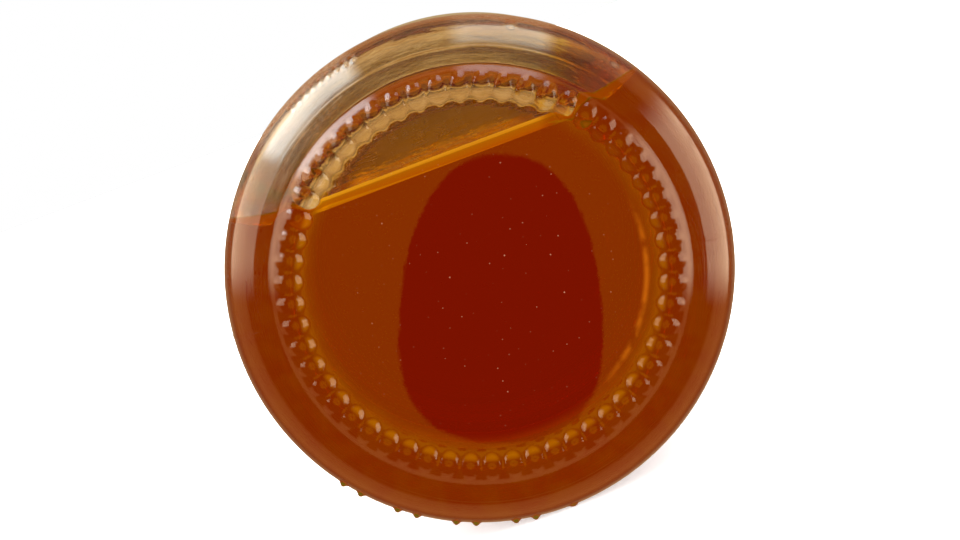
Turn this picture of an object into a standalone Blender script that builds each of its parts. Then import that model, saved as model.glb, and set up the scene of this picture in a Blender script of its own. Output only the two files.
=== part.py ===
"""A shut glass jar of honey that lies on its side, its ribbed base towards -Y.

The jar is turned upright about its own Z axis, from its base at 0 up to its lid,
and one empty then lays it down. In the jar's own frame +Y is the side that ends
up on the table, so the air above the honey is towards -Y.
"""

import math

import bmesh
import bpy
from mathutils import Matrix, Vector

# Glass outside, in metres, radii from the axis and heights from the base
BODY_RADIUS = 0.0410
BODY_TOP = 0.0745
HEEL_RADIUS = 0.0100
HEEL_TOP = 0.0121
HEEL_START_DEG = 15.0
RING_RADIUS = 0.0299
RING_HEIGHT = 0.0007
RING_ROUNDING = 0.0040
RING_OUTER_DEG = 45.0
PANEL_RADIUS = 0.0276
PANEL_EDGE_HEIGHT = 0.0013
PANEL_CENTRE_HEIGHT = 0.0025
SHOULDER_ROUNDING = 0.0080
SHOULDER_SLOPE_DEG = 68.0
COLLAR_RADIUS = 0.0325
BEAD_RADIUS = 0.0340
BEAD_HEIGHT = 0.0867
BEAD_ROUNDING = 0.0011
BEAD_HALF_DEG = 70.0
NECK_RADIUS = 0.0322
NECK_FOOT = 0.0881
RIM_HEIGHT = 0.1000
RIM_ROUNDING = 0.0009

# Glass inside
WALL = 0.0026
FLOOR_HEIGHT = 0.0074
FLOOR_RADIUS = 0.0262
CORNER_TOP = 0.0172
INSIDE_SHOULDER = 0.0732
MOUTH_RADIUS = 0.0297
MOUTH_FOOT = 0.0815

# Ribs under the base, on the ring that the jar stands on
RIB_COUNT = 55
RIB_FIRST_DEG = 2.45
RIB_RADIUS = 0.03005
RIB_HALF_SIZES = (0.0020, 0.00132, 0.0016)

# Raised marks on the heel: a row of dots, a row of ticks and three plain pads
DOT_HEIGHT = 0.0090
DOT_PLACES = 13
DOT_STEP_DEG = 4.55
DOT_FIRST_DEG = 88.65
DOT_HALF_SIZES = (0.00085, 0.00085, 0.00065)
MARK_HEIGHT = 0.0068
TICK_COUNT = 9
TICK_STEP_DEG = 2.25
TICK_FIRST_DEG = 241.7
TICK_HALF_SIZES = (0.0011, 0.00036, 0.0005)
PAD_DEGREES = (297.4, 323.1, 348.3)
PAD_HALF_SIZES = (0.0012, 0.0009, 0.0005)

# Honey, up to a level surface above the jar's axis as it lies
GAP = 0.0003
HONEY_LEVEL = 0.0182

# Lid
LID_WALL = 0.0008
LID_RADIUS = 0.0352
LID_FOOT = 0.0882
LID_CORNER = 0.0014
LID_RING_RISE = 0.0010
LID_RING_RADII = (0.0287, 0.0303, 0.0325)
LID_BUTTON_RADII = (0.0100, 0.0120)
LID_BUTTON_RISE = 0.0006
HEM_ROUNDING = 0.0009
HEM_START_DEG = 75.0
HEM_LIP = 0.0003

LID_INSIDE = RIM_HEIGHT + GAP
LID_TOP = LID_INSIDE + LID_WALL + LID_RING_RISE

# How finely the turned shapes and the small raised ones are divided
SEGMENTS = 60
PANEL_STEPS = 2
SLOPE_STEPS = 2
RING_STEPS = 3
VALLEY_STEPS = 2
HEEL_STEPS = 7
SHOULDER_STEPS = 5
BEAD_STEPS = 3
RIM_STEPS = 2
MOUTH_STEPS = 4
CORNER_STEPS = 5
LID_CORNER_STEPS = 3
HEM_STEPS = 4
PEBBLE_SEGMENTS = 8
RIB_RINGS = 6
DOT_RINGS = 6
MARK_RINGS = 4
SHARP_DEG = 40.0

# Plain colours, for the solids alone
GLASS_COLOUR = (0.93, 0.97, 0.95)
HONEY_COLOUR = (0.45, 0.09, 0.005)
LACQUER_COLOUR = (0.78, 0.58, 0.24)

# The flat that the jar lies on is as wide as two facets of the body
REST_DEPTH = BODY_RADIUS * math.cos(2 * math.pi / SEGMENTS)


def clear_scene():
    for obj in list(bpy.data.objects):
        bpy.data.objects.remove(obj, do_unlink=True)


def material(name, colour, roughness, metallic=0.0, transmission=0.0):
    made = bpy.data.materials.new(name)
    made.use_nodes = True
    shader = made.node_tree.nodes["Principled BSDF"]
    shader.inputs["Base Color"].default_value = (*colour, 1.0)
    shader.inputs["Roughness"].default_value = roughness
    shader.inputs["Metallic"].default_value = metallic
    shader.inputs["Transmission Weight"].default_value = transmission
    made.diffuse_color = (*colour, 1.0)
    return made


def arc(centre, radius, start_deg, end_deg, steps):
    """Points (radius, height) on an arc. 0 degrees points out from the axis, 90 up."""
    points = []
    for i in range(steps + 1):
        angle = math.radians(start_deg + (end_deg - start_deg) * i / steps)
        points.append((centre[0] + radius * math.cos(angle), centre[1] + radius * math.sin(angle)))
    return points


def eased(start, end, steps):
    """Points from start to end whose height eases in and out, as a smooth S."""
    points = []
    for i in range(steps + 1):
        share = i / steps
        lift = 0.5 - 0.5 * math.cos(math.pi * share)
        points.append((
            start[0] + (end[0] - start[0]) * share,
            start[1] + (end[1] - start[1]) * lift,
        ))
    return points


def dome(centre, edge, steps):
    """Points on a shallow dome, from its centre on the axis and not quite to its edge."""
    points = []
    for i in range(steps):
        share = i / steps
        points.append((edge[0] * share, centre[1] + (edge[1] - centre[1]) * share * share))
    return points


def valley(start, start_deg, end, end_deg, steps):
    """Points between start and end on a curve that leaves and arrives at those slopes."""
    leaving = Vector((math.cos(math.radians(start_deg)), math.sin(math.radians(start_deg))))
    arriving = Vector((math.cos(math.radians(end_deg)), math.sin(math.radians(end_deg))))
    low, high = Vector(start), Vector(end)
    reach = (high - low).cross(arriving) / leaving.cross(arriving)
    bend = low + leaving * reach
    points = []
    for i in range(1, steps):
        share = i / steps
        point = low * (1 - share) ** 2 + bend * 2 * share * (1 - share) + high * share ** 2
        points.append((point.x, point.y))
    return points


def heel_point(height):
    """The heel's radius at a height and its outward normal's angle below level, in degrees."""
    drop = (HEEL_TOP - height) / HEEL_RADIUS
    radius = BODY_RADIUS - HEEL_RADIUS + HEEL_RADIUS * math.sqrt(1 - drop * drop)
    return radius, math.degrees(math.asin(drop))


def outside_profile():
    """The glass from the middle of its base, out and up to its rim."""
    panel_edge = (PANEL_RADIUS, PANEL_EDGE_HEIGHT)
    panel = dome((0.0, PANEL_CENTRE_HEIGHT), panel_edge, PANEL_STEPS)
    slope = eased(panel_edge, (RING_RADIUS, RING_HEIGHT), SLOPE_STEPS)
    ring_centre = (RING_RADIUS, RING_HEIGHT + RING_ROUNDING)
    ring = arc(ring_centre, RING_ROUNDING, -90, -90 + RING_OUTER_DEG, RING_STEPS)[1:]
    heel_centre = (BODY_RADIUS - HEEL_RADIUS, HEEL_TOP)
    heel = arc(heel_centre, HEEL_RADIUS, -90 + HEEL_START_DEG, 0, HEEL_STEPS)
    groove = valley(ring[-1], RING_OUTER_DEG, heel[0], HEEL_START_DEG, VALLEY_STEPS)
    shoulder_centre = (BODY_RADIUS - SHOULDER_ROUNDING, BODY_TOP)
    shoulder = arc(shoulder_centre, SHOULDER_ROUNDING, 0, SHOULDER_SLOPE_DEG, SHOULDER_STEPS)
    bead_centre = (BEAD_RADIUS - BEAD_ROUNDING, BEAD_HEIGHT)
    bead = arc(bead_centre, BEAD_ROUNDING, -BEAD_HALF_DEG, BEAD_HALF_DEG, BEAD_STEPS)
    collar = [(COLLAR_RADIUS, 0.5 * (shoulder[-1][1] + bead[0][1]))]
    neck = [(NECK_RADIUS, NECK_FOOT)]
    rim_centre = (NECK_RADIUS - RIM_ROUNDING, RIM_HEIGHT - RIM_ROUNDING)
    rim = arc(rim_centre, RIM_ROUNDING, 0, 90, RIM_STEPS)
    return panel + slope + ring + groove + heel + shoulder + collar + bead + neck + rim


def inside_profile():
    """The glass from its rim, down its inner wall to the middle of its floor."""
    inner_radius = BODY_RADIUS - WALL
    mouth = [
        (MOUTH_RADIUS + RIM_ROUNDING, RIM_HEIGHT),
        (MOUTH_RADIUS, RIM_HEIGHT - RIM_ROUNDING),
        (MOUTH_RADIUS, MOUTH_FOOT),
    ]
    wall_top = (inner_radius, INSIDE_SHOULDER)
    shoulder = eased_out((MOUTH_RADIUS, MOUTH_FOOT), wall_top, MOUTH_STEPS)
    wall_foot = (inner_radius, CORNER_TOP)
    corner = rounded_corner(wall_foot, (FLOOR_RADIUS, FLOOR_HEIGHT), CORNER_STEPS)
    return mouth + shoulder + corner + [(0.0, FLOOR_HEIGHT)]


def eased_out(start, end, steps):
    """A quarter ellipse that leaves start outwards and arrives at end heading down."""
    points = []
    for i in range(1, steps + 1):
        angle = 0.5 * math.pi * i / steps
        points.append((
            start[0] + (end[0] - start[0]) * math.sin(angle),
            end[1] + (start[1] - end[1]) * math.cos(angle),
        ))
    return points


def rounded_corner(start, end, steps):
    """A quarter ellipse that leaves start heading down and arrives at end heading inwards."""
    points = []
    for i in range(steps + 1):
        angle = 0.5 * math.pi * i / steps
        points.append((
            end[0] + (start[0] - end[0]) * math.cos(angle),
            start[1] + (end[1] - start[1]) * math.sin(angle),
        ))
    return points


def turned_bmesh(profile):
    """The profile, a list of (radius, height), spun once about Z."""
    bm = bmesh.new()
    verts = [bm.verts.new((radius, 0.0, height)) for radius, height in profile]
    edges = [bm.edges.new(pair) for pair in zip(verts, verts[1:])]
    if profile[0][0] > 0:
        edges.append(bm.edges.new((verts[-1], verts[0])))
    bmesh.ops.spin(
        bm,
        geom=verts + edges,
        axis=(0, 0, 1),
        cent=(0, 0, 0),
        angle=2 * math.pi,
        steps=SEGMENTS,
        use_merge=True,
    )
    bmesh.ops.remove_doubles(bm, verts=bm.verts, dist=1e-6)
    bmesh.ops.recalc_face_normals(bm, faces=bm.faces)
    return bm


def new_object(name, bm, surface, parent):
    mesh = bpy.data.meshes.new(name)
    bm.to_mesh(mesh)
    bm.free()
    mesh.materials.append(surface)
    mesh.shade_smooth()
    mesh.set_sharp_from_angle(angle=math.radians(SHARP_DEG))
    obj = bpy.data.objects.new(name, mesh)
    obj.parent = parent
    bpy.context.scene.collection.objects.link(obj)
    return obj


def lay_flat(bm):
    """Flatten the side that ends up on the table, so that the jar can't roll."""
    for vert in bm.verts:
        vert.co.y = min(vert.co.y, REST_DEPTH)


def pebble(half_sizes, place, rings):
    """A small ellipsoid at a place, to be fused to the glass, kept above the table."""
    bm = bmesh.new()
    bmesh.ops.create_uvsphere(bm, u_segments=PEBBLE_SEGMENTS, v_segments=rings, radius=1.0)
    bmesh.ops.scale(bm, vec=half_sizes, verts=bm.verts)
    bmesh.ops.transform(bm, matrix=place, verts=bm.verts)
    lay_flat(bm)
    return bm


def rib_places():
    """Where each rib lies: its length runs out from the axis and its lowest point is at 0."""
    centre = Matrix.Translation((RIB_RADIUS, 0.0, RIB_HALF_SIZES[2]))
    for i in range(RIB_COUNT):
        angle = math.radians(RIB_FIRST_DEG + 360.0 * i / RIB_COUNT)
        yield Matrix.Rotation(angle, 4, "Z") @ centre


def heel_places(degrees, height):
    """For each angle, a place on the heel at that height whose Z axis is the surface's normal."""
    radius, below = heel_point(height)
    for angle in degrees:
        turn = Matrix.Rotation(math.radians(angle), 4, "Z")
        lean = Matrix.Rotation(math.radians(90 + below), 4, "Y")
        yield turn @ Matrix.Translation((radius, 0.0, height)) @ lean


def dot_degrees():
    """A row of equal places, of which every third is left out."""
    return [DOT_FIRST_DEG + DOT_STEP_DEG * i for i in range(DOT_PLACES) if i % 3 != 1]


def tick_degrees():
    return [TICK_FIRST_DEG + TICK_STEP_DEG * i for i in range(TICK_COUNT)]


def raised_shapes():
    """Every rib and mark, each as its own small mesh."""
    shapes = [pebble(RIB_HALF_SIZES, place, RIB_RINGS) for place in rib_places()]
    for place in heel_places(dot_degrees(), DOT_HEIGHT):
        shapes.append(pebble(DOT_HALF_SIZES, place, DOT_RINGS))
    for place in heel_places(tick_degrees(), MARK_HEIGHT):
        shapes.append(pebble(TICK_HALF_SIZES, place, MARK_RINGS))
    for place in heel_places(PAD_DEGREES, MARK_HEIGHT):
        shapes.append(pebble(PAD_HALF_SIZES, place, MARK_RINGS))
    return shapes


def fuse(obj, shapes):
    """One Boolean union of the shapes with obj, applied, and the shapes removed."""
    joined = bpy.data.collections.new("raised_shapes")
    bpy.context.scene.collection.children.link(joined)
    for bm in shapes:
        mesh = bpy.data.meshes.new("raised_shape")
        bm.to_mesh(mesh)
        bm.free()
        piece = bpy.data.objects.new("raised_shape", mesh)
        piece.parent = obj.parent
        joined.objects.link(piece)
    union = obj.modifiers.new("raised_shapes", "BOOLEAN")
    union.operation = "UNION"
    union.operand_type = "COLLECTION"
    union.collection = joined
    union.solver = "EXACT"
    bpy.context.view_layer.update()
    evaluated = obj.evaluated_get(bpy.context.evaluated_depsgraph_get())
    whole = bpy.data.meshes.new_from_object(evaluated)
    obj.modifiers.remove(union)
    obj.data = whole
    for piece in list(joined.objects):
        bpy.data.objects.remove(piece, do_unlink=True)
    bpy.data.collections.remove(joined)


def make_glass(parent, surface):
    bm = turned_bmesh(outside_profile() + inside_profile())
    lay_flat(bm)
    glass = new_object("jar_glass", bm, surface, parent)
    fuse(glass, raised_shapes())
    return glass


def make_honey(parent, surface):
    """The inside of the glass, a gap smaller, cut level."""
    inner_radius = BODY_RADIUS - WALL - GAP
    neck_radius = MOUTH_RADIUS - GAP
    floor = FLOOR_HEIGHT + GAP
    profile = [(0.0, floor)]
    profile += reversed(rounded_corner(
        (inner_radius, CORNER_TOP + GAP), (FLOOR_RADIUS - GAP, floor), CORNER_STEPS))
    profile += reversed(eased_out(
        (neck_radius, MOUTH_FOOT - GAP), (inner_radius, INSIDE_SHOULDER - GAP), MOUTH_STEPS))
    profile += [(neck_radius, MOUTH_FOOT - GAP), (neck_radius, RIM_HEIGHT), (0.0, RIM_HEIGHT)]
    bm = turned_bmesh(profile)
    cut = bmesh.ops.bisect_plane(
        bm,
        geom=bm.verts[:] + bm.edges[:] + bm.faces[:],
        plane_co=(0.0, -HONEY_LEVEL, 0.0),
        plane_no=(0.0, -1.0, 0.0),
        clear_outer=True,
    )
    rim = [part for part in cut["geom_cut"] if isinstance(part, bmesh.types.BMEdge)]
    bmesh.ops.contextual_create(bm, geom=rim)
    bmesh.ops.recalc_face_normals(bm, faces=bm.faces)
    return new_object("honey", bm, surface, parent)


def lid_profile():
    """The lid's metal, from the middle of its top, over its skirt and back underneath."""
    panel = LID_INSIDE + LID_WALL
    ring_in, ring_crest, ring_out = LID_RING_RADII
    button_in, button_out = LID_BUTTON_RADII
    top = [
        (0.0, panel + LID_BUTTON_RISE),
        (button_in, panel + LID_BUTTON_RISE),
        (button_out, panel),
        (ring_in, panel),
        (ring_crest, LID_TOP),
        (ring_out, LID_TOP),
    ]
    corner_centre = (LID_RADIUS - LID_CORNER, LID_TOP - LID_CORNER)
    skirt = arc(corner_centre, LID_CORNER, 90, 0, LID_CORNER_STEPS)
    hem_centre = (LID_RADIUS, LID_FOOT + HEM_ROUNDING)
    hem = arc(hem_centre, HEM_ROUNDING, HEM_START_DEG, -90, HEM_STEPS)
    foot = [(LID_RADIUS - LID_WALL, LID_FOOT + HEM_LIP)]
    under = [
        (LID_RADIUS - LID_WALL, LID_INSIDE),
        (0.0, LID_INSIDE),
    ]
    return top + skirt + hem + foot + under


def make_lid(parent, surface):
    return new_object("lid", turned_bmesh(lid_profile()), surface, parent)


def main():
    clear_scene()
    glass_surface = material("clear_glass", GLASS_COLOUR, roughness=0.02, transmission=1.0)
    honey_surface = material("dark_honey", HONEY_COLOUR, roughness=0.05, transmission=0.6)
    lid_surface = material("gold_lacquer", LACQUER_COLOUR, roughness=0.28, metallic=1.0)

    laid_down = bpy.data.objects.new("jar_axis", None)
    laid_down.location = Vector((0.0, -0.5 * LID_TOP, REST_DEPTH))
    laid_down.rotation_euler = (math.radians(-90), 0.0, 0.0)
    bpy.context.scene.collection.objects.link(laid_down)

    make_glass(laid_down, glass_surface)
    make_honey(laid_down, honey_surface)
    make_lid(laid_down, lid_surface)


main()
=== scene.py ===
"""The look of a shut glass jar of dark honey that lies on its side.

Shapes are worked out about the jar's own axis, as (radius, height above its base) in
millimetres, and laid down in one step: across is world X, along the axis is world Y and up is
world Z.
"""

import math
from collections import namedtuple

import bmesh
import bpy
import numpy as np
from mathutils import Matrix, Vector


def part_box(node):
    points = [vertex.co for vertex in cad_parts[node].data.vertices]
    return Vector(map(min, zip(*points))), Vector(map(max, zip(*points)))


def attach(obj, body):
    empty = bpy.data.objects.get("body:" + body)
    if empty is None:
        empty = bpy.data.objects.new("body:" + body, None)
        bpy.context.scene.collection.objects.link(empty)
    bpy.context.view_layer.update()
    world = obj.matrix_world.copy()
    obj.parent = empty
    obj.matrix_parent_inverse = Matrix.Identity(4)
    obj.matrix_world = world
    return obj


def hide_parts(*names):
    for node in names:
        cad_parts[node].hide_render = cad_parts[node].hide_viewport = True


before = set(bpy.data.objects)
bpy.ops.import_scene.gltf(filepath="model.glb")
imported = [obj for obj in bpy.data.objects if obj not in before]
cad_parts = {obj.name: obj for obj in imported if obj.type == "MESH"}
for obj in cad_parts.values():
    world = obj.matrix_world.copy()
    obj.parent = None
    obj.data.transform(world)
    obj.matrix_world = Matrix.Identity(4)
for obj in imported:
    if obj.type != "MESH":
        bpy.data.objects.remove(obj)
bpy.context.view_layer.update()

MM = 0.001

# The jar's frame, read from the CAD, in metres
GLASS_LOW, GLASS_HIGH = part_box("jar_glass")
HONEY_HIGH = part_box("honey")[1]
BODY_RADIUS = 0.5 * (GLASS_HIGH.x - GLASS_LOW.x)
AXIS_UP = GLASS_HIGH.z - BODY_RADIUS
BASE_Y = GLASS_LOW.y
LEVEL = HONEY_HIGH.z - AXIS_UP
RIM_HEIGHT = GLASS_HIGH.y - BASE_Y

# The same in millimetres. The flat that the jar lies on is as deep as the CAD's.
BODY = BODY_RADIUS / MM
RIM = RIM_HEIGHT / MM
REST_DEPTH = AXIS_UP / MM

# Glass outside, in millimetres
HEEL_ROUNDING = 10.0
HEEL_TOP = 12.1
HEEL_START_DEG = 15.0
RING_RADIUS = 29.9
RING_HEIGHT = 0.7
RING_ROUNDING = 4.0
RING_OUTER_DEG = 45.0
PANEL_RADIUS = 27.6
PANEL_EDGE_HEIGHT = 1.3
PANEL_CENTRE_HEIGHT = 2.5
BODY_TOP = 74.5
SHOULDER_ROUNDING = 8.0
SHOULDER_SLOPE_DEG = 68.0
COLLAR_RADIUS = 32.5
BEAD_RADIUS = 34.0
BEAD_HEIGHT = 86.7
BEAD_ROUNDING = 1.1
BEAD_HALF_DEG = 70.0
NECK_RADIUS = 32.2
NECK_FOOT = 88.1
RIM_ROUNDING = 0.9

# Glass inside
WALL = 2.6
FLOOR_HEIGHT = 7.4
FLOOR_RADIUS = 26.2
CORNER_TOP = 17.2
INSIDE_SHOULDER = 73.2
MOUTH_RADIUS = 29.7
MOUTH_FOOT = 81.5

# Raised marks, where the solids have them. A higher power makes a mark's foot softer.
RIB_COUNT = 55
RIB_FIRST_DEG = 2.45
RIB_RADIUS = 29.8
RIB_HALF_WIDTH = 1.5
RIB_INNER_LENGTH = 2.2
RIB_OUTER_LENGTH = 2.6
RIB_RELIEF = 0.5
RIB_POWER = 0.96
MARK_POWER = 1.5
DOT_HEIGHT = 9.0
DOT_PLACES = 13
DOT_STEP_DEG = 4.55
DOT_FIRST_DEG = 88.65
DOT_HALF_SIZES = (0.85, 0.85, 0.65)
MARK_HEIGHT = 6.8
TICK_COUNT = 9
TICK_STEP_DEG = 2.25
TICK_FIRST_DEG = 241.7
TICK_HALF_SIZES = (1.3, 0.55, 0.14)
PAD_DEGREES = (297.4, 323.1, 348.3)
PAD_HALF_SIZES = (1.3, 1.0, 0.13)

# Seams that the mould leaves, too fine for the solids. Their widths are at half their height.
SEAM_DEGREES = (11.4, 185.6)
SEAM_WIDTH = 0.32
SEAM_PROUD = 0.09
PLATE_SEAM_RADIUS = 35.8
PLATE_SEAM_WIDTH = 0.28
PLATE_SEAM_PROUD = 0.05

# Honey
WET_REACH = 0.12
MENISCUS_RISE = 2.0
MENISCUS_LENGTH = 1.3
MENISCUS_REACHES = (0.12, 0.2, 0.3, 0.4, 0.5, 0.7, 0.9, 1.2)

# Columns round the jar: many where the base has its marks, fewer on the plain wall. The rows
# of the base's shallow dome crowd towards its edge. Edges of the honey that turn by more than
# SHARP_DEG are shaded as sharp.
FINE_COLUMNS = 880
COLUMNS = FINE_COLUMNS // 4
DOME_CROWDING = 0.4
SHARP_DEG = 40.0

# Limits for telling points and faces apart, in millimetres. MERGE_WITHIN is in metres, and
# FACES_ALONG is the part of a face's unit normal that points along the axis.
SAME_POINT = 1e-4
MERGE_WITHIN = 1e-7
WALL_SLACK = 0.05
FLOOR_SLACK = 0.2
FACES_ALONG = 0.5

# Materials by their place in their object's list: two on the inside of the glass, and the
# honey's free surface
FILMED = 1
WETTED = 2
SURFACE = 1

# Looks of the glass. Lengths are in millimetres, scales are per metre.
GLASS_IOR = 1.52
GLASS_GLOSS = 0.75
NOISE_DETAIL = 3.0
CLEAR_TINT = (0.99, 0.995, 0.99)
AMBER_TINT = (0.90, 0.78, 0.58)
AMBER_ABOVE_LEVEL = (1.0, 5.0)
RIPPLE_SCALE = 450.0
RIPPLE_DEPTH = 0.001
# RIB_GLOW is painted light: a golden glow on the inner ends of the ribs.
RIB_GLOW = (0.17, 0.082, 0.0)
RIB_GLOW_RADII = (27.5, 29.0)
RIB_GLOW_SOFT = 0.5
RIB_GLOW_BETWEEN = 0.2
RIB_GLOW_FULL_AT = 0.6
RIB_GLOW_FADE_UP = 30.0
RIB_GLOW_LEAN = 0.6
RIB_GLOW_LEAST = 0.15
DUST_GLOW = (0.42, 0.25, 0.15)
DUST_CELL = 2.3
DUST_SIZE = 0.1
DUST_FREE_SHARE = 0.45
DUST_FADE_RADII = (14.0, 27.0)

# The film of honey on the glass above the level, with streaks round the axis. How far its
# edges wander and how soft they are is in radians round the axis.
FILM_TINT = (0.52, 0.31, 0.10)
FILM_THIN_TINT = (0.70, 0.50, 0.24)
FILM_THIN_FROM_TO = (0.38, 0.64)
FILM_FLOOR_TINT = (0.60, 0.30, 0.055)
FILM_HEEL_RADII = (27.0, 33.0)
FILM_THICK_TINT = (0.48, 0.12, 0.001)
FILM_THICK_TO_DEG = (139.5, 49.5)
FILM_EDGE_TINT = (0.70, 0.33, 0.01)
FILM_EDGE_DEG = (3.4, 5.8)
FILM_EDGE_WANDER = 0.15
FILM_EDGE_SOFT = (0.02, 0.03)
STREAKS_ACROSS = 1100.0
STREAKS_ROUND = 5.0
STREAKS_ALONG = 300.0
STREAK_DEPTH = 0.04

# Looks of the honey. Lengths are in millimetres, its density is per metre, and ARC_END_SOFT is
# in radians.
HONEY_IOR = 1.49
HONEY_TINT = (0.9708, 0.8333, 0.0, 1.0)
HONEY_DENSITY = 1200.0
HONEY_GLOW = (1.0, 0.18, 0.045, 1.0)
HONEY_GLOW_STRENGTH = 7.1
# WALL_GLOW and ARC_GLOW are painted light on the honey against the glass.
WALL_GLOW = (0.03, 0.022, 0.0)
WALL_GLOW_RADII = (25.5, 28.5)
WALL_NOISE_SCALE = 260.0
WALL_NOISE_FROM_TO = (0.3, 0.7)
WALL_GLOW_SHARES = (0.7, 1.2)
ARC_GLOW = (0.34, 0.10, 0.004)
ARC_RADII = (26.1, 26.7)
ARC_SOFT = 0.5
ARC_DEGREES = (-56.0, -2.0)
ARC_END_SOFT = 0.2
ARC_NOISE_FROM_TO = (0.42, 0.62)
# The SURFACE glows are painted light on the honey's free surface.
SURFACE_GLOW = (0.22, 0.09, 0.001)
SURFACE_RIM_GLOW = (0.27, 0.19, 0.010)
SURFACE_RIM_RISES = (1.2, 1.8)
SURFACE_SIDE_GLOW = (0.085, 0.028, 0.0)
SURFACE_GLOW_ACROSS = (-20.5, 18.0)
SURFACE_GLOW_SOFT = 1.5

# Looks of the lid
LACQUER_DEEP = (0.72, 0.50, 0.19)
LACQUER_LIGHT = (0.80, 0.60, 0.26)
LACQUER_FROM_TO = (0.35, 0.65)
CLOUD_SCALE = 90.0
CLOUD_DETAIL = 4.0
GRAIN_SCALE = 400.0
GRAIN_FROM_TO = (0.3, 0.7)
GRAIN_ROUGHNESS = (0.27, 0.31)

# Light. Seen past the jar all is white. What the jar reflects is a dim room: a soft dark patch
# in the middle of a warm wall behind the viewer, a soft box either side and two windows.
# Angles are from the way towards the viewer, and round the jar's axis from world +X.
SOFT_BOX_DEG = (57.0, 120.0)
SOFT_BOX_SOFT_DEG = 4.0
SOFT_BOX_ROUND_DEG = (-6.2, 142.5)
SOFT_BOX_HALF_DEG = (22.8, 24.5)
SOFT_BOX_ROUND_SOFT_DEG = 6.0
SOFT_BOX_LIGHTS = (4.6, 4.1)
SOFT_BOX_COLOUR = (1.0, 0.83, 0.57)
SEEN_BOX_SHARE = 0.3
WINDOW_DEG = (68.0, 110.0)
WINDOW_SOFT_DEG = 6.0
WINDOW_ROUND_DEG = (119.5, 63.0)
WINDOW_HALF_DEG = (15.5, 12.5)
WINDOW_ROUND_SOFT_DEG = 3.0
WINDOW_LIGHTS = (8.5, 3.4)
WINDOW_COLOUR = (0.86, 1.0, 1.04)
SEEN_WINDOW_LIGHTS = (3.2, 1.4)
VEIL_COLOUR = (1.0, 0.48, 0.005)
VEIL_LIGHT = 1.5
VEIL_TO_DEG = 32.0
VEIL_SOFT_DEG = 6.0
DARK_PATCH_CENTRE = (0.005, -0.092)
DARK_PATCH_HALF = (0.059, 0.086)
DARK_PATCH_NARROWING = -0.16
DARK_PATCH_POWER = 2.4
DARK_PATCH_EDGE = (0.96, 1.06)
BACK_FROM_DEG = 135.0
BACK_SOFT_DEG = 15.0
BACK_LIGHT = 0.5
BACK_COLOUR = (1.0, 0.7, 0.35)
SHEEN_DEG = (81.0, 122.5)
SHEEN_SOFT_DEG = (5.0, 12.5)
SHEEN_LIGHT = 1.0
SHEEN_COLOUR = (1.0, 0.47, 0.15)
FRONT_LIGHT = 0.62
FRONT_TO_DEG = 72.0
WHITE_FROM_DEG = 95.0
LOW_TO_HIGH = (-0.1, 0.25)
LOW_LIGHT = 0.04
LOW_COLOUR = (1.0, 0.45, 0.1)
ROOM_LIGHT = 3.2
WHITE = (1.0, 1.0, 1.0)

# The white ground
FLOOR_HALF_SIZE = 3.0
FLOOR_COLOUR = (0.9, 0.9, 0.9, 1.0)
FLOOR_ROUGHNESS = 0.9
FLOOR_GLOW = 0.45

# The photograph's view
CAMERA_DISTANCE = 0.412
CAMERA_RISE_DEG = 5.9
CAMERA_ASIDE_DEG = 1.2
CAMERA_ROLL_DEG = 20.5
CAMERA_LENS = 96.2
CAMERA_CLIP = 0.01
AIM_HEIGHT = HEEL_TOP


def arc(centre, radius, start_deg, end_deg, steps):
    """Points (radius, height) on an arc. 0 degrees points out from the axis, 90 up."""
    angles = np.radians(np.linspace(start_deg, end_deg, steps + 1))
    return [(centre[0] + radius * math.cos(a), centre[1] + radius * math.sin(a)) for a in angles]


def line(start, end, steps):
    shares = np.linspace(0.0, 1.0, steps + 1)
    return [(start[0] + (end[0] - start[0]) * s, start[1] + (end[1] - start[1]) * s) for s in shares]


def eased(start, end, steps):
    """Points from start to end whose height eases in and out, as a smooth S."""
    shares = np.linspace(0.0, 1.0, steps + 1)
    lifts = 0.5 - 0.5 * np.cos(math.pi * shares)
    return [
        (start[0] + (end[0] - start[0]) * s, start[1] + (end[1] - start[1]) * u)
        for s, u in zip(shares, lifts)
    ]


def dome(centre, edge, steps):
    """A shallow dome, from its centre on the axis to its edge, with the closest points there."""
    return [
        (edge[0] * s, centre[1] + (edge[1] - centre[1]) * s * s)
        for s in np.linspace(0.0, 1.0, steps + 1) ** DOME_CROWDING
    ]


def valley(start, start_deg, end, end_deg, steps):
    """A curve from start to end that leaves and arrives at those slopes."""
    leaving = Vector((math.cos(math.radians(start_deg)), math.sin(math.radians(start_deg))))
    arriving = Vector((math.cos(math.radians(end_deg)), math.sin(math.radians(end_deg))))
    low, high = Vector(start), Vector(end)
    bend = low + leaving * ((high - low).cross(arriving) / leaving.cross(arriving))
    points = []
    for share in np.linspace(0.0, 1.0, steps + 1):
        point = low * (1 - share) ** 2 + bend * 2 * share * (1 - share) + high * share ** 2
        points.append((point.x, point.y))
    return points


def quarter(start, end, steps, leaves):
    """A quarter ellipse from start to end that leaves start "out" or "along" the axis."""
    points = []
    for angle in np.linspace(0.0, 0.5 * math.pi, steps + 1):
        across = math.sin(angle) if leaves == "out" else 1 - math.cos(angle)
        along = 1 - math.cos(angle) if leaves == "out" else math.sin(angle)
        points.append((
            start[0] + (end[0] - start[0]) * across,
            start[1] + (end[1] - start[1]) * along,
        ))
    return points


def joined(*stretches):
    """One list of points from stretches, without the points where two of them meet."""
    points = []
    for stretch in stretches:
        for point in stretch:
            if not points or math.dist(points[-1], point) > SAME_POINT:
                points.append(point)
    return points


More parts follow.
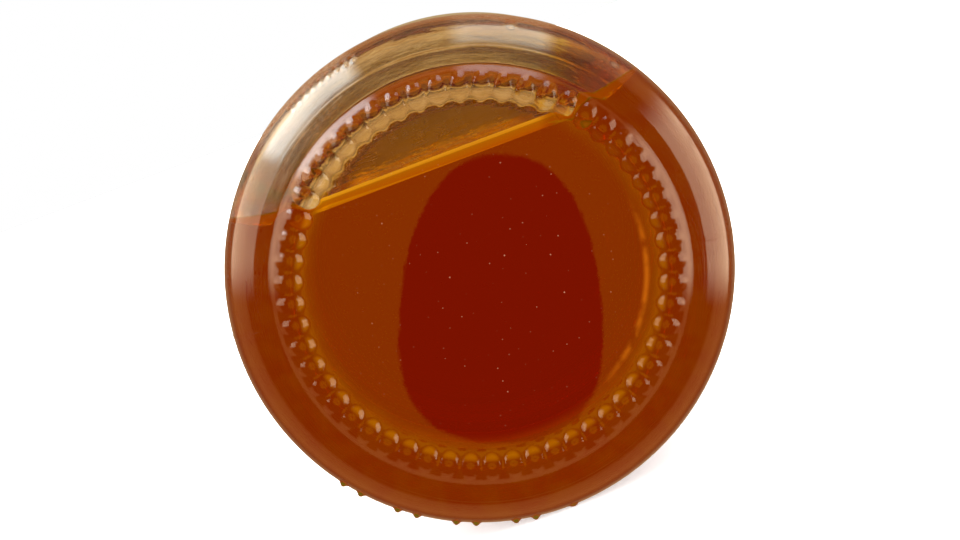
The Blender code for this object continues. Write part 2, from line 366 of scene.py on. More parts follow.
def outside_profile():
    """The glass from the middle of its base, out and up to the top of its rim."""
    panel_edge = (PANEL_RADIUS, PANEL_EDGE_HEIGHT)
    ring_low = (RING_RADIUS, RING_HEIGHT)
    ring_centre = (RING_RADIUS, RING_HEIGHT + RING_ROUNDING)
    heel_centre = (BODY - HEEL_ROUNDING, HEEL_TOP)
    shoulder_centre = (BODY - SHOULDER_ROUNDING, BODY_TOP)
    bead_centre = (BEAD_RADIUS - BEAD_ROUNDING, BEAD_HEIGHT)
    rim_centre = (NECK_RADIUS - RIM_ROUNDING, RIM - RIM_ROUNDING)
    ring = arc(ring_centre, RING_ROUNDING, -90, -90 + RING_OUTER_DEG, steps=14)
    heel = arc(heel_centre, HEEL_ROUNDING, -90 + HEEL_START_DEG, 0, steps=38)
    shoulder = arc(shoulder_centre, SHOULDER_ROUNDING, 0, SHOULDER_SLOPE_DEG, steps=14)
    bead = arc(bead_centre, BEAD_ROUNDING, -BEAD_HALF_DEG, BEAD_HALF_DEG, steps=8)
    collar = (COLLAR_RADIUS, 0.5 * (shoulder[-1][1] + bead[0][1]))
    neck = (NECK_RADIUS, NECK_FOOT)
    rim = arc(rim_centre, RIM_ROUNDING, 0, 90, steps=4)
    return joined(
        dome((0.0, PANEL_CENTRE_HEIGHT), panel_edge, steps=24),
        eased(panel_edge, ring_low, steps=10),
        ring,
        valley(ring[-1], RING_OUTER_DEG, heel[0], HEEL_START_DEG, steps=8),
        heel,
        line(heel[-1], (BODY, BODY_TOP), steps=6),
        shoulder,
        line(shoulder[-1], collar, steps=3),
        line(collar, bead[0], steps=2),
        bead,
        [neck],
        line(neck, rim[0], steps=2),
        rim,
    )


def inside_profile():
    """The glass from its rim, down its inner wall to the middle of its floor."""
    inner = BODY - WALL
    rim_top = (MOUTH_RADIUS + RIM_ROUNDING, RIM)
    mouth_top = (MOUTH_RADIUS, RIM - RIM_ROUNDING)
    mouth_foot = (MOUTH_RADIUS, MOUTH_FOOT)
    floor_edge = (FLOOR_RADIUS, FLOOR_HEIGHT)
    return joined(
        quarter(rim_top, mouth_top, steps=3, leaves="out"),
        line(mouth_top, mouth_foot, steps=4),
        quarter(mouth_foot, (inner, INSIDE_SHOULDER), steps=12, leaves="out"),
        line((inner, INSIDE_SHOULDER), (inner, CORNER_TOP), steps=6),
        quarter((inner, CORNER_TOP), floor_edge, steps=14, leaves="along"),
        line(floor_edge, (0.0, FLOOR_HEIGHT), steps=5),
    )


def wet_profile():
    """The honey's own outline: the inside of the glass, grown a little into the wall."""
    inner = BODY - WALL + WET_REACH
    floor = FLOOR_HEIGHT - WET_REACH
    mouth = MOUTH_RADIUS + WET_REACH
    top = RIM + WET_REACH
    mouth_foot = (mouth, MOUTH_FOOT + WET_REACH)
    shoulder = quarter(mouth_foot, (inner, INSIDE_SHOULDER), steps=12, leaves="out")
    return joined(
        line((0.0, floor), (FLOOR_RADIUS, floor), steps=5),
        quarter((FLOOR_RADIUS, floor), (inner, CORNER_TOP), steps=14, leaves="out"),
        line((inner, CORNER_TOP), (inner, INSIDE_SHOULDER), steps=6),
        reversed(shoulder),
        line(mouth_foot, (mouth, top), steps=4),
        line((mouth, top), (0.0, top), steps=4),
    )


def profile_normals(points):
    """The unit normal at each profile point, to the right of the way the profile runs."""
    ways = np.gradient(np.array(points), axis=0)
    normals = np.stack([ways[:, 1], -ways[:, 0]], axis=1)
    return normals / np.linalg.norm(normals, axis=1, keepdims=True)


def turned(points, columns):
    """Points or normals of a profile turned about the axis: rows by columns by 3."""
    angles = 2 * math.pi * np.arange(columns) / columns
    p = np.array(points)
    x = p[:, :1] * np.cos(angles)
    y = p[:, :1] * np.sin(angles)
    z = np.repeat(p[:, 1:], columns, axis=1)
    return np.stack([x, y, z], axis=2)


def turned_faces(rows, columns, first_is_point, last_is_point, offset=0):
    """Quads between rows of a turned grid, with fans where its first or last row is a point."""
    faces = []
    for low in range(rows - 1):
        near, far = offset + low * columns, offset + (low + 1) * columns
        for j in range(columns):
            k = (j + 1) % columns
            if first_is_point and low == 0:
                faces.append((near, far + j, far + k))
            elif last_is_point and low == rows - 2:
                faces.append((near + j, far, near + k))
            else:
                faces.append((near + j, far + j, far + k, near + k))
    return faces


def laid_down(coords):
    """Jar coordinates in millimetres to world coordinates in metres."""
    flat = coords.reshape(-1, 3) * MM
    return np.stack([flat[:, 0], flat[:, 2] + BASE_Y, AXIS_UP - flat[:, 1]], axis=1)


def mesh_object(name, verts, faces, materials):
    mesh = bpy.data.meshes.new(name)
    mesh.from_pydata(verts.tolist(), [], faces)
    mesh.validate()
    for made in materials:
        mesh.materials.append(made)
    mesh.shade_smooth()
    obj = bpy.data.objects.new(name, mesh)
    bpy.context.scene.collection.objects.link(obj)
    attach(obj, "root")
    return obj


def clean(obj):
    """Merge the points that a fan leaves in one place and make every face look outwards."""
    bm = bmesh.new()
    bm.from_mesh(obj.data)
    bmesh.ops.remove_doubles(bm, verts=bm.verts, dist=MERGE_WITHIN)
    loose = [v for v in bm.verts if not v.link_faces]
    bmesh.ops.delete(bm, geom=loose, context="VERTS")
    bmesh.ops.recalc_face_normals(bm, faces=bm.faces)
    bm.to_mesh(obj.data)
    bm.free()


def bump(along, across, half_sizes, power):
    """The height of a rounded bump at points of the surface it stands on."""
    inside = np.clip(1 - (along / half_sizes[0]) ** 2 - (across / half_sizes[1]) ** 2, 0.0, None)
    return half_sizes[2] * inside ** power


def ridge(away, width, proud):
    """The height of a fine straight ridge at points that far from its middle."""
    return proud * np.clip(1 - away / width, 0.0, 1.0)


def turn_between(angles, centre_deg):
    """Each angle less a centre, brought into half a turn each way, in radians."""
    return (angles - math.radians(centre_deg) + math.pi) % (2 * math.pi) - math.pi


def heel_marks():
    """The place round the axis, height and half sizes of each dot, tick and pad. Every third
    place for a dot stays empty."""
    marks = [
        (DOT_FIRST_DEG + DOT_STEP_DEG * i, DOT_HEIGHT, DOT_HALF_SIZES)
        for i in range(DOT_PLACES) if i % 3 != 1
    ]
    for i in range(TICK_COUNT):
        marks.append((TICK_FIRST_DEG + TICK_STEP_DEG * i, MARK_HEIGHT, TICK_HALF_SIZES))
    for place in PAD_DEGREES:
        marks.append((place, MARK_HEIGHT, PAD_HALF_SIZES))
    return marks


def raise_marks(coords, normals):
    """Ribs, dots, ticks, pads and mould seams, raised from the outside of the base and heel.
    Returns how much of a rib each point is, from 0 to 1."""
    x, y, z = coords[..., 0], coords[..., 1], coords[..., 2]
    radius = np.hypot(x, y)
    angles = np.arctan2(y, x)

    pitch = 2 * math.pi / RIB_COUNT
    off = (angles - math.radians(RIB_FIRST_DEG) + 0.5 * pitch) % pitch - 0.5 * pitch
    out = radius - RIB_RADIUS
    length = np.where(out < 0, RIB_INNER_LENGTH, RIB_OUTER_LENGTH)
    rib = bump(out / length, off * radius, (1.0, RIB_HALF_WIDTH, 1.0), RIB_POWER)
    coords[..., 2] -= rib * np.minimum(z, RIB_RELIEF)

    below = np.arcsin(np.clip((HEEL_TOP - z) / HEEL_ROUNDING, -1, 1))
    rise = np.zeros_like(radius)
    for place, height, half_sizes in heel_marks():
        along = (below - math.asin((HEEL_TOP - height) / HEEL_ROUNDING)) * HEEL_ROUNDING
        across = turn_between(angles, place) * radius
        rise = np.maximum(rise, bump(along, across, half_sizes, MARK_POWER))
    for place in SEAM_DEGREES:
        fin = ridge(np.abs(turn_between(angles, place)) * radius, SEAM_WIDTH, SEAM_PROUD)
        rise = np.maximum(rise, np.where(radius > PLATE_SEAM_RADIUS, fin, 0.0))
    plate_seam = ridge(np.abs(radius - PLATE_SEAM_RADIUS), PLATE_SEAM_WIDTH, PLATE_SEAM_PROUD)
    rise = np.maximum(rise, plate_seam)
    coords += normals * rise[..., None]
    coords[..., 1] = np.minimum(coords[..., 1], REST_DEPTH)
    return rib


def is_inside(face):
    """Whether a face of the glass looks into the jar."""
    x, y, z = face.calc_center_median()
    across = math.hypot(x, z - AXIS_UP) / MM
    if across > BODY - WALL + WALL_SLACK or (y - BASE_Y) / MM < FLOOR_HEIGHT - FLOOR_SLACK:
        return False
    return Vector((x, 0.0, z - AXIS_UP)).dot(face.normal) < 0 or face.normal.y > FACES_ALONG


def mark_inside(glass):
    """Divide the inside of the glass along the line that the honey climbs to, and give it the
    filmed material above that line and the wet one below."""
    contact = AXIS_UP + LEVEL + MENISCUS_RISE * MM
    bm = bmesh.new()
    bm.from_mesh(glass.data)
    bm.normal_update()
    inside = [face for face in bm.faces if is_inside(face)]
    edges = {edge for face in inside for edge in face.edges}
    verts = {vert for face in inside for vert in face.verts}
    bmesh.ops.bisect_plane(
        bm,
        geom=list(verts) + list(edges) + inside,
        plane_co=(0.0, 0.0, contact),
        plane_no=(0.0, 0.0, 1.0),
    )
    for face in bm.faces:
        if is_inside(face):
            face.material_index = WETTED if face.calc_center_median().z < contact else FILMED
    bm.to_mesh(glass.data)
    bm.free()


def make_glass(materials):
    """The jar, with the marks its mould leaves. Its inside is filmed, or wet below the level."""
    outer = outside_profile()
    split = max(i for i, point in enumerate(outer) if point[1] <= HEEL_TOP and point[0] > RING_RADIUS)
    fine, plain = outer[:split + 1], outer[split + 1:] + inside_profile()
    fine_coords = turned(fine, FINE_COLUMNS)
    rib = raise_marks(fine_coords, turned(profile_normals(outer), FINE_COLUMNS)[:split + 1])
    plain_coords = turned(plain, COLUMNS)
    plain_coords[..., 1] = np.minimum(plain_coords[..., 1], REST_DEPTH)
    coords = np.concatenate([fine_coords.reshape(-1, 3), plain_coords.reshape(-1, 3)])

    faces = turned_faces(len(fine), FINE_COLUMNS, first_is_point=True, last_is_point=False)
    first = (len(fine) - 1) * FINE_COLUMNS
    offset = len(fine) * FINE_COLUMNS
    each = FINE_COLUMNS // COLUMNS
    for j in range(COLUMNS):
        near = [first + (each * j + k) % FINE_COLUMNS for k in range(each + 1)]
        faces.append((*near, offset + (j + 1) % COLUMNS, offset + j))
    faces += turned_faces(len(plain), COLUMNS, first_is_point=False, last_is_point=True, offset=offset)

    glass = mesh_object("jar_glass_clear", laid_down(coords), faces, materials)
    ribs = glass.data.attributes.new("rib", "FLOAT", "POINT")
    ribs.data.foreach_set("value", np.concatenate([rib.ravel(), np.zeros(plain_coords[..., 0].size)]))
    clean(glass)
    mark_inside(glass)
    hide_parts("jar_glass")


def make_honey(wall, surface):
    """The honey up to its level surface, which climbs a little where it meets the glass."""
    profile = wet_profile()
    coords = turned(profile, COLUMNS)
    faces = turned_faces(len(profile), COLUMNS, first_is_point=True, last_is_point=True)
    honey = mesh_object("honey_fill", laid_down(coords), faces, [wall, surface])
    clean(honey)
    bm = bmesh.new()
    bm.from_mesh(honey.data)
    cut = bmesh.ops.bisect_plane(
        bm,
        geom=bm.verts[:] + bm.edges[:] + bm.faces[:],
        plane_co=(0.0, 0.0, AXIS_UP + LEVEL + MENISCUS_RISE * MM),
        plane_no=(0.0, 0.0, 1.0),
        clear_outer=True,
    )
    rim = [part for part in cut["geom_cut"] if isinstance(part, bmesh.types.BMEdge)]
    top = bmesh.ops.contextual_create(bm, geom=rim)["faces"]
    for face in top:
        face.material_index = SURFACE
    fall = MENISCUS_RISE / (1 - math.exp(-sum(MENISCUS_REACHES) / MENISCUS_LENGTH))
    away = 0.0
    for reach in MENISCUS_REACHES:
        drop = fall * (math.exp(-away / MENISCUS_LENGTH) - math.exp(-(away + reach) / MENISCUS_LENGTH))
        away += reach
        bmesh.ops.inset_region(
            bm,
            faces=top,
            thickness=reach * MM,
            depth=-drop * MM,
            use_even_offset=False,
        )
    bm.to_mesh(honey.data)
    bm.free()
    honey.data.set_sharp_from_angle(angle=math.radians(SHARP_DEG))
    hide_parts("honey")


class NodeMaths:
    """Short names for the sums, colours and noises of a tree of shader nodes."""

    def __init__(self, tree):
        self.tree = tree

    def set(self, socket, value):
        """Give a socket a number, a colour or another node's result."""
        if isinstance(value, bpy.types.NodeSocket):
            self.tree.links.new(value, socket)
        elif isinstance(value, tuple) and len(socket.default_value) > len(value):
            socket.default_value = (*value, 1.0)
        else:
            socket.default_value = value

    def sum(self, operation, *values):
        node = self.tree.nodes.new("ShaderNodeMath")
        node.operation = operation
        for socket, value in zip(node.inputs, values):
            self.set(socket, value)
        return node.outputs[0]

    def product(self, *values):
        total = values[0]
        for value in values[1:]:
            total = self.sum("MULTIPLY", total, value)
        return total

    def ramp(self, value, start, end, low=0.0, high=1.0):
        """From low to high, smoothly, as value goes from start to end."""
        node = self.tree.nodes.new("ShaderNodeMapRange")
        node.interpolation_type = "SMOOTHSTEP"
        for name, number in zip(("From Min", "From Max", "To Min", "To Max"), (start, end, low, high)):
            node.inputs[name].default_value = number
        self.set(node.inputs["Value"], value)
        return node.outputs["Result"]

    def ramp_deg(self, value, start_deg, end_deg, low=0.0, high=1.0):
        return self.ramp(value, math.radians(start_deg), math.radians(end_deg), low, high)

    def window(self, value, low, high, soft):
        """1 while value is between low and high, and 0 outside, with soft edges."""
        rise = self.ramp(value, low - soft, low + soft)
        fall = self.ramp(value, high - soft, high + soft, 1.0, 0.0)
        return self.sum("MULTIPLY", rise, fall)

    def window_deg(self, value, low_deg, high_deg, soft_deg):
        return self.window(value, *(math.radians(angle) for angle in (low_deg, high_deg, soft_deg)))

    def part(self, vector, way):
        """How far the vector goes that way."""
        node = self.tree.nodes.new("ShaderNodeVectorMath")
        node.operation = "DOT_PRODUCT"
        self.set(node.inputs[0], vector)
        self.set(node.inputs[1], way)
        return node.outputs["Value"]

    def around(self, way, middles_deg, halves_deg, lights, soft_deg):
        """The lights that a way round the jar's axis meets, each as wide as twice its half."""
        total = 0.0
        for middle, half, light in zip(middles_deg, halves_deg, lights):
            turn = math.radians(middle)
            ahead = self.part(way, (math.cos(turn), 0.0, math.sin(turn)))
            aside = self.part(way, (-math.sin(turn), 0.0, math.cos(turn)))
            off = self.sum("ABSOLUTE", self.sum("ARCTAN2", aside, ahead))
            met = self.ramp_deg(off, half - soft_deg, half + soft_deg, light, 0.0)
            total = self.sum("MAXIMUM", total, met)
        return total

    def tinted(self, colour, value):
        node = self.tree.nodes.new("ShaderNodeVectorMath")
        node.operation = "SCALE"
        self.set(node.inputs[0], colour)
        self.set(node.inputs["Scale"], value)
        return node.outputs[0]

    def added(self, *colours):
        total = colours[0]
        for colour in colours[1:]:
            node = self.tree.nodes.new("ShaderNodeVectorMath")
            node.operation = "ADD"
            self.set(node.inputs[0], total)
            self.set(node.inputs[1], colour)
            total = node.outputs[0]
        return total

    def vector(self, x, y, z=0.0):
        node = self.tree.nodes.new("ShaderNodeCombineXYZ")
        for socket, value in zip(node.inputs, (x, y, z)):
            self.set(socket, value)
        return node.outputs[0]

    def blend(self, share, low, high):
        """Between two colours, by a share from 0 to 1."""
        node = self.tree.nodes.new("ShaderNodeMix")
        node.data_type = "RGBA"
        for socket, value in ((node.inputs[0], share), (node.inputs[6], low), (node.inputs[7], high)):
            self.set(socket, value)
        return node.outputs[2]

    def choose(self, test, if_false, if_true):
        node = self.tree.nodes.new("ShaderNodeMix")
        node.data_type = "VECTOR"
        for socket, value in ((node.inputs[0], test), (node.inputs[4], if_false), (node.inputs[5], if_true)):
            self.set(socket, value)
        return node.outputs[1]

    def noise(self, spot, scale, detail=2.0):
        node = self.tree.nodes.new("ShaderNodeTexNoise")
        node.inputs["Scale"].default_value = scale
        node.inputs["Detail"].default_value = detail
        self.set(node.inputs["Vector"], spot)
        return node.outputs["Fac"]

    def uneven(self, shader, height, depth):
        """Give a shader a surface that a height makes uneven, to a depth in millimetres."""
        node = self.tree.nodes.new("ShaderNodeBump")
        node.inputs["Strength"].default_value = 1.0
        node.inputs["Distance"].default_value = MM * depth
        self.set(node.inputs["Height"], height)
        self.set(shader.inputs["Normal"], node.outputs["Normal"])


Place = namedtuple("Place", "spot radius turn up across along")


def placed(maths):
    """Where a point is: its coordinates, its distance and angle round the axis, and how far up
    from the axis, right of it and along it, all in metres and radians."""
    spot = maths.tree.nodes.new("ShaderNodeTexCoord").outputs["Object"]
    axes = maths.tree.nodes.new("ShaderNodeSeparateXYZ")
    maths.set(axes.inputs[0], spot)
    across, along, height = axes.outputs
    up = maths.sum("SUBTRACT", height, AXIS_UP)
    squares = (maths.sum("POWER", part, 2.0) for part in (across, up))
    radius = maths.sum("SQRT", maths.sum("ADD", *squares))
    return Place(spot, radius, maths.sum("ARCTAN2", up, across), up, across, along)


def shader_material(name):
    """A new material with its shader and its maths."""
    made = bpy.data.materials.new(name)
    made.use_nodes = True
    return made, made.node_tree.nodes["Principled BSDF"], NodeMaths(made.node_tree)


def clear_material(name, tint, ior, gloss):
    """A smooth clear material. Gloss is how strongly it reflects."""
    made, shader, maths = shader_material(name)
    shader.inputs["Base Color"].default_value = (*tint, 1.0)
    shader.inputs["Roughness"].default_value = 0.0
    shader.inputs["IOR"].default_value = ior
    shader.inputs["Transmission Weight"].default_value = 1.0
    shader.inputs["Specular Tint"].default_value = (gloss, gloss, gloss, 1.0)
    return made, shader, maths


def painted_rib_light(maths, at):
    """Painted golden light on the inner side of the ribs, in a chain, brightest low on the left."""
    rib = maths.tree.nodes.new("ShaderNodeAttribute")
    rib.attribute_name = "rib"
    lean = maths.sum("ADD", at.up, maths.sum("MULTIPLY", at.across, RIB_GLOW_LEAN))
    share = maths.ramp(lean, 0.0, MM * RIB_GLOW_FADE_UP, 1.0, RIB_GLOW_LEAST)
    low, high = (MM * radius for radius in RIB_GLOW_RADII)
    chain = maths.window(at.radius, low, high, MM * RIB_GLOW_SOFT)
    beads = maths.ramp(rib.outputs["Fac"], 0.0, RIB_GLOW_FULL_AT, RIB_GLOW_BETWEEN, 1.0)
    return maths.tinted(RIB_GLOW, maths.product(chain, beads, share))


def base_dust(maths, at):
    """Fine specks of dust on the base, fainter towards the ribs."""
    cells = maths.tree.nodes.new("ShaderNodeTexVoronoi")
    cells.voronoi_dimensions = "2D"
    cells.inputs["Scale"].default_value = 1.0 / (MM * DUST_CELL)
    maths.set(cells.inputs["Vector"], maths.vector(at.across, at.up))
    lot = maths.tree.nodes.new("ShaderNodeSeparateColor")
    maths.set(lot.inputs[0], cells.outputs["Color"])
    size = maths.product(maths.sum("SUBTRACT", lot.outputs[0], DUST_FREE_SHARE), DUST_SIZE)
    speck = maths.sum("GREATER_THAN", size, cells.outputs["Distance"])
    inner, outer = (MM * radius for radius in DUST_FADE_RADII)
    on_base = maths.ramp(at.radius, inner, outer, 1.0, 0.0)
    return maths.tinted(DUST_GLOW, maths.product(speck, lot.outputs[1], on_base))


def outer_glass():
    """The jar's outside: clear, amber where film lies behind it, with painted golden light at the ribs and
    dust.
    """
    made, shader, maths = clear_material("glass_outer", CLEAR_TINT, GLASS_IOR, GLASS_GLOSS)
    at = placed(maths)
    maths.uneven(shader, maths.noise(at.spot, RIPPLE_SCALE, NOISE_DETAIL), RIPPLE_DEPTH)
    start, full = (LEVEL + MM * height for height in AMBER_ABOVE_LEVEL)
    tint = maths.blend(maths.ramp(at.up, start, full), CLEAR_TINT, AMBER_TINT)
    maths.set(shader.inputs["Base Color"], tint)
    # The glow is painted golden light at the ribs plus the specks of dust.
    glow = maths.added(painted_rib_light(maths, at), base_dust(maths, at))
    maths.set(shader.inputs["Emission Color"], glow)
    shader.inputs["Emission Strength"].default_value = 1.0
    return made


def filmed_glass():
    """The inner wall above the honey: a film of honey in streaks round the axis, and thicker
    where it drains at the heel's two ends of the level."""
    made, shader, maths = clear_material("glass_filmed", FILM_TINT, GLASS_IOR, GLASS_GLOSS)
    at = placed(maths)
    inner, outer = (MM * radius for radius in FILM_HEEL_RADII)
    at_heel = maths.ramp(at.radius, inner, outer)
    off_level = maths.product(at_heel, maths.sum("SUBTRACT", at.radius, at.up))
    grain = maths.vector(
        maths.product(maths.sum("ADD", at.up, off_level), STREAKS_ACROSS),
        maths.product(at.turn, STREAKS_ROUND),
        maths.product(at.along, STREAKS_ALONG))
    streaks = maths.noise(grain, 1.0, NOISE_DETAIL)
    maths.uneven(shader, streaks, STREAK_DEPTH)

    film = maths.blend(maths.ramp(streaks, *FILM_THIN_FROM_TO), FILM_TINT, FILM_THIN_TINT)
    film = maths.blend(at_heel, FILM_FLOOR_TINT, film)
    wander = maths.product(maths.sum("SUBTRACT", streaks, 0.5), FILM_EDGE_WANDER)
    turn = maths.sum("ADD", at.turn, wander)
    left, right = (math.radians(limit) for limit in FILM_THICK_TO_DEG)
    left_edge, right_edge = (math.radians(width) for width in FILM_EDGE_DEG)
    outside, inside = FILM_EDGE_SOFT
    for tint, left_end, right_end in (
        (FILM_EDGE_TINT, left, right),
        (FILM_THICK_TINT, left + left_edge, right - right_edge),
    ):
        at_left = maths.ramp(turn, left_end - outside, left_end + inside)
        at_right = maths.ramp(turn, right_end - inside, right_end + outside, 1.0, 0.0)
        share = maths.product(maths.sum("ADD", at_left, at_right), at_heel)
        film = maths.blend(share, film, tint)
    maths.set(shader.inputs["Base Color"], film)
    return made


def wetted_glass():
    """The inner wall where honey touches it, which has next to no reflection."""
    return clear_material("glass_wetted", WHITE, GLASS_IOR, 0.0)[0]


def honey_material(name, gloss):
    """Dark honey: golden where it is thin, dark red where it is deep, with a faint inner glow
    in place of the light that it scatters."""
    made, shader, maths = clear_material(name, WHITE, HONEY_IOR, gloss)
    shader.inputs["Emission Strength"].default_value = 1.0
    nodes, links = made.node_tree.nodes, made.node_tree.links
    absorb = nodes.new("ShaderNodeVolumeAbsorption")
    absorb.inputs["Color"].default_value = HONEY_TINT
    absorb.inputs["Density"].default_value = HONEY_DENSITY
    glow = nodes.new("ShaderNodeEmission")
    glow.inputs["Color"].default_value = HONEY_GLOW
    glow.inputs["Strength"].default_value = HONEY_GLOW_STRENGTH
    both = nodes.new("ShaderNodeAddShader")
    links.new(absorb.outputs["Volume"], both.inputs[0])
    links.new(glow.outputs["Emission"], both.inputs[1])
    links.new(both.outputs[0], nodes["Material Output"].inputs["Volume"])
    return made, shader, maths


def honey_wall():
    """Honey against the glass, with painted light: a little lighter off the floor, and a painted
    streak of light low on the right where the floor meets the wall."""
    made, shader, maths = honey_material("honey_wall", 0.0)
    at = placed(maths)
    noise = maths.noise(at.spot, WALL_NOISE_SCALE, NOISE_DETAIL)
    inner, outer = (MM * radius for radius in WALL_GLOW_RADII)
    off_floor = maths.ramp(at.radius, inner, outer)
    cloudy = maths.ramp(noise, *WALL_NOISE_FROM_TO, *WALL_GLOW_SHARES)
    # Painted light: the honey a little lighter off the floor.
    wall = maths.tinted(WALL_GLOW, maths.product(off_floor, cloudy))
    arc_inner, arc_outer = (MM * radius for radius in ARC_RADII)
    near_arc = maths.window(at.radius, arc_inner, arc_outer, MM * ARC_SOFT)
    arc_start, arc_end = (math.radians(end) for end in ARC_DEGREES)
    along_arc = maths.window(at.turn, arc_start, arc_end, ARC_END_SOFT)
    streaky = maths.ramp(noise, *ARC_NOISE_FROM_TO)
    # Painted streak of light low on the right, along the arc where the floor meets the wall.
    arc_light = maths.tinted(ARC_GLOW, maths.product(near_arc, along_arc, streaky))
    maths.set(shader.inputs["Emission Color"], maths.added(wall, arc_light))
    return made


def honey_surface():
    """The honey's free surface, with painted light where light falls into it, brighter where it climbs the
    glass and dimmer at the sides.
    """
    made, shader, maths = honey_material("honey_surface", 1.0)
    at = placed(maths)
    start, full = (LEVEL + MM * rise for rise in SURFACE_RIM_RISES)
    # Painted light, brighter on the meniscus and dimmer towards the sides.
    glow = maths.blend(maths.ramp(at.up, start, full), SURFACE_GLOW, SURFACE_RIM_GLOW)
    left, right = (MM * across for across in SURFACE_GLOW_ACROSS)
    over_floor = maths.window(at.across, left, right, MM * SURFACE_GLOW_SOFT)
    glow = maths.blend(over_floor, SURFACE_SIDE_GLOW, glow)
    maths.set(shader.inputs["Emission Color"], glow)
    return made


def lid_material():
    """Gold lacquer on tinplate, a little uneven in colour and in gloss."""
    made, shader, maths = shader_material("lid_gold")
    shader.inputs["Metallic"].default_value = 1.0
    spot = maths.tree.nodes.new("ShaderNodeTexCoord").outputs["Object"]
    clouds = maths.ramp(maths.noise(spot, CLOUD_SCALE, CLOUD_DETAIL), *LACQUER_FROM_TO)
    grain = maths.ramp(maths.noise(spot, GRAIN_SCALE), *GRAIN_FROM_TO, *GRAIN_ROUGHNESS)
    maths.set(shader.inputs["Base Color"], maths.blend(clouds, LACQUER_DEEP, LACQUER_LIGHT))
    maths.set(shader.inputs["Roughness"], grain)
    return made


def make_camera():
    rise = math.radians(CAMERA_RISE_DEG)
    aside = math.radians(CAMERA_ASIDE_DEG)
    roll = math.radians(CAMERA_ROLL_DEG)
    towards = Vector((math.sin(aside) * math.cos(rise), -math.cos(aside) * math.cos(rise), math.sin(rise)))
    aim = Vector((0.0, BASE_Y + MM * AIM_HEIGHT, AXIS_UP))
    data = bpy.data.cameras.new("camera")
    data.lens = CAMERA_LENS
    data.clip_start = CAMERA_CLIP
    camera = bpy.data.objects.new("camera", data)
    bpy.context.scene.collection.objects.link(camera)
    forward = -towards
    right = forward.cross(Vector((math.sin(roll), 0.0, math.cos(roll)))).normalized()
    up = right.cross(forward)
    turn = Matrix((right, up, towards)).transposed()
    camera.matrix_world = Matrix.Translation(aim + towards * CAMERA_DISTANCE) @ turn.to_4x4()
    bpy.context.scene.camera = camera


def make_floor():
    bm = bmesh.new()
    bmesh.ops.create_grid(bm, x_segments=1, y_segments=1, size=FLOOR_HALF_SIZE)
    mesh = bpy.data.meshes.new("floor")
    bm.to_mesh(mesh)
    bm.free()
    made, shader, _ = shader_material("floor_white")
    shader.inputs["Base Color"].default_value = FLOOR_COLOUR
    shader.inputs["Roughness"].default_value = FLOOR_ROUGHNESS
    shader.inputs["Emission Color"].default_value = (*WHITE, 1.0)
    shader.inputs["Emission Strength"].default_value = FLOOR_GLOW
    mesh.materials.append(made)
    floor = bpy.data.objects.new("floor", mesh)
    floor.visible_glossy = False
    floor.visible_transmission = False
    bpy.context.scene.collection.objects.link(floor)


def from_dark_patch(maths, way):
    """How far a way is from the middle of the dark patch behind the viewer, 1 at its edge."""
    roll = math.radians(CAMERA_ROLL_DEG)
    right = maths.part(way, (math.cos(roll), 0.0, -math.sin(roll)))
    up = maths.part(way, (math.sin(roll), 0.0, math.cos(roll)))
    across, along = (
        maths.sum("DIVIDE", maths.sum("SUBTRACT", value, centre), half)
        for value, centre, half in zip((right, up), DARK_PATCH_CENTRE, DARK_PATCH_HALF)
    )
    wider = maths.sum("ADD", maths.product(along, DARK_PATCH_NARROWING), 1.0)
    powers = (
        maths.sum("POWER", maths.sum("ABSOLUTE", share), DARK_PATCH_POWER)
        for share in (maths.product(across, wider), along)
    )
    return maths.sum("ADD", *powers)


def reflected_light(maths, way, from_viewer, boxes, in_window):
    """What the jar reflects: the warm wall with its dark patch, a warm sheen from the sides, the
    soft boxes, the windows and a dim wall behind the jar."""
    veil = maths.ramp(from_dark_patch(maths, way), *DARK_PATCH_EDGE, 0.0, VEIL_LIGHT)
    near = maths.ramp_deg(
        from_viewer, VEIL_TO_DEG - VEIL_SOFT_DEG, VEIL_TO_DEG + VEIL_SOFT_DEG, 1.0, 0.0)
    start, end = SHEEN_DEG
    start_soft, end_soft = SHEEN_SOFT_DEG
    sheen = maths.product(
        maths.ramp_deg(from_viewer, start - start_soft, start + start_soft, 0.0, SHEEN_LIGHT),
        maths.ramp_deg(from_viewer, end - end_soft, end + end_soft, 1.0, 0.0))
    windows = maths.around(
        way, WINDOW_ROUND_DEG, WINDOW_HALF_DEG, WINDOW_LIGHTS, WINDOW_ROUND_SOFT_DEG)
    behind = maths.ramp_deg(
        from_viewer, BACK_FROM_DEG - BACK_SOFT_DEG, BACK_FROM_DEG + BACK_SOFT_DEG, 0.0, BACK_LIGHT)
    return maths.added(
        maths.tinted(VEIL_COLOUR, maths.product(veil, near)),
        maths.tinted(SHEEN_COLOUR, sheen),
        maths.tinted(SOFT_BOX_COLOUR, boxes),
        maths.tinted(WINDOW_COLOUR, maths.product(windows, in_window)),
        maths.tinted(BACK_COLOUR, behind))


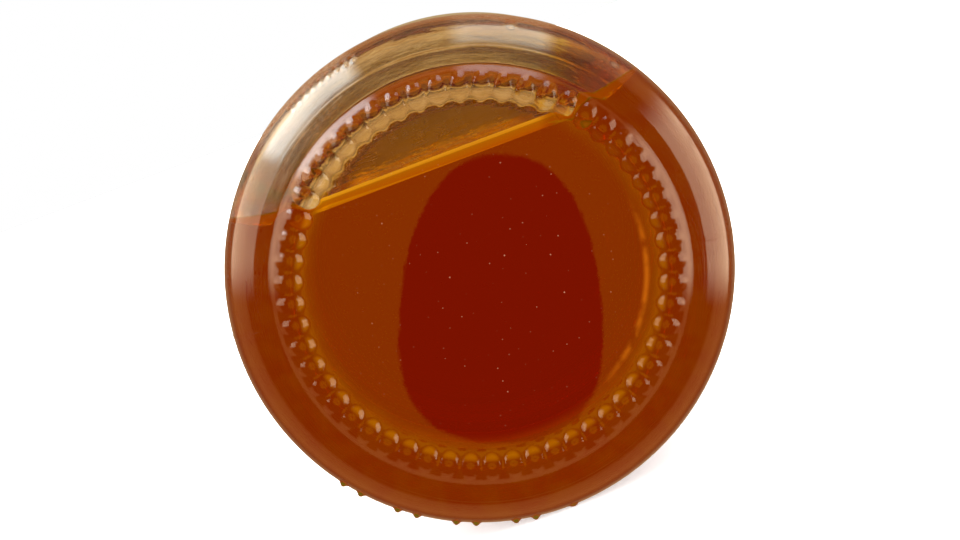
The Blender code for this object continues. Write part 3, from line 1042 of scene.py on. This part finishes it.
def seen_light(maths, way, from_viewer, boxes, in_window):
    """What shows through the jar: white, dimmer towards the viewer and warm and dim below."""
    around = maths.ramp_deg(from_viewer, FRONT_TO_DEG, WHITE_FROM_DEG, FRONT_LIGHT, 1.0)
    rising = maths.part(way, (0.0, 0.0, 1.0))
    high = maths.product(around, maths.ramp(rising, *LOW_TO_HIGH))
    low = maths.product(around, maths.ramp(rising, *LOW_TO_HIGH, LOW_LIGHT, 0.0))
    windows = maths.around(
        way, WINDOW_ROUND_DEG, WINDOW_HALF_DEG, SEEN_WINDOW_LIGHTS, WINDOW_ROUND_SOFT_DEG)
    white = maths.sum("ADD", high, maths.product(boxes, SEEN_BOX_SHARE))
    white = maths.sum("ADD", white, maths.product(windows, in_window))
    return maths.added(maths.tinted(WHITE, white), maths.tinted(LOW_COLOUR, low))


def make_world():
    """White to look at, with one light for what the jar reflects, one for what shows through
    it and an even one for matt surfaces."""
    world = bpy.data.worlds.new("studio")
    bpy.context.scene.world = world
    world.use_nodes = True
    tree = world.node_tree
    maths = NodeMaths(tree)
    way = tree.nodes.new("ShaderNodeTexCoord").outputs["Generated"]
    from_viewer = maths.sum("ARCCOSINE", maths.part(way, (0.0, -1.0, 0.0)))
    boxes = maths.product(
        maths.around(
            way, SOFT_BOX_ROUND_DEG, SOFT_BOX_HALF_DEG, SOFT_BOX_LIGHTS, SOFT_BOX_ROUND_SOFT_DEG),
        maths.window_deg(from_viewer, *SOFT_BOX_DEG, SOFT_BOX_SOFT_DEG))
    in_window = maths.window_deg(from_viewer, *WINDOW_DEG, WINDOW_SOFT_DEG)
    lit = reflected_light(maths, way, from_viewer, boxes, in_window)
    seen = seen_light(maths, way, from_viewer, boxes, in_window)
    path = tree.nodes.new("ShaderNodeLightPath")
    colour = maths.choose(path.outputs["Is Glossy Ray"], (ROOM_LIGHT,) * 3, lit)
    colour = maths.choose(path.outputs["Is Transmission Ray"], colour, seen)
    colour = maths.choose(path.outputs["Is Camera Ray"], colour, WHITE)
    maths.set(tree.nodes["Background"].inputs["Color"], colour)


def main():
    bpy.context.scene.view_settings.view_transform = "Standard"
    make_world()
    make_camera()
    make_floor()
    make_glass([outer_glass(), filmed_glass(), wetted_glass()])
    make_honey(honey_wall(), honey_surface())
    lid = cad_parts["lid"]
    lid.data.materials.clear()
    lid.data.materials.append(lid_material())


main()
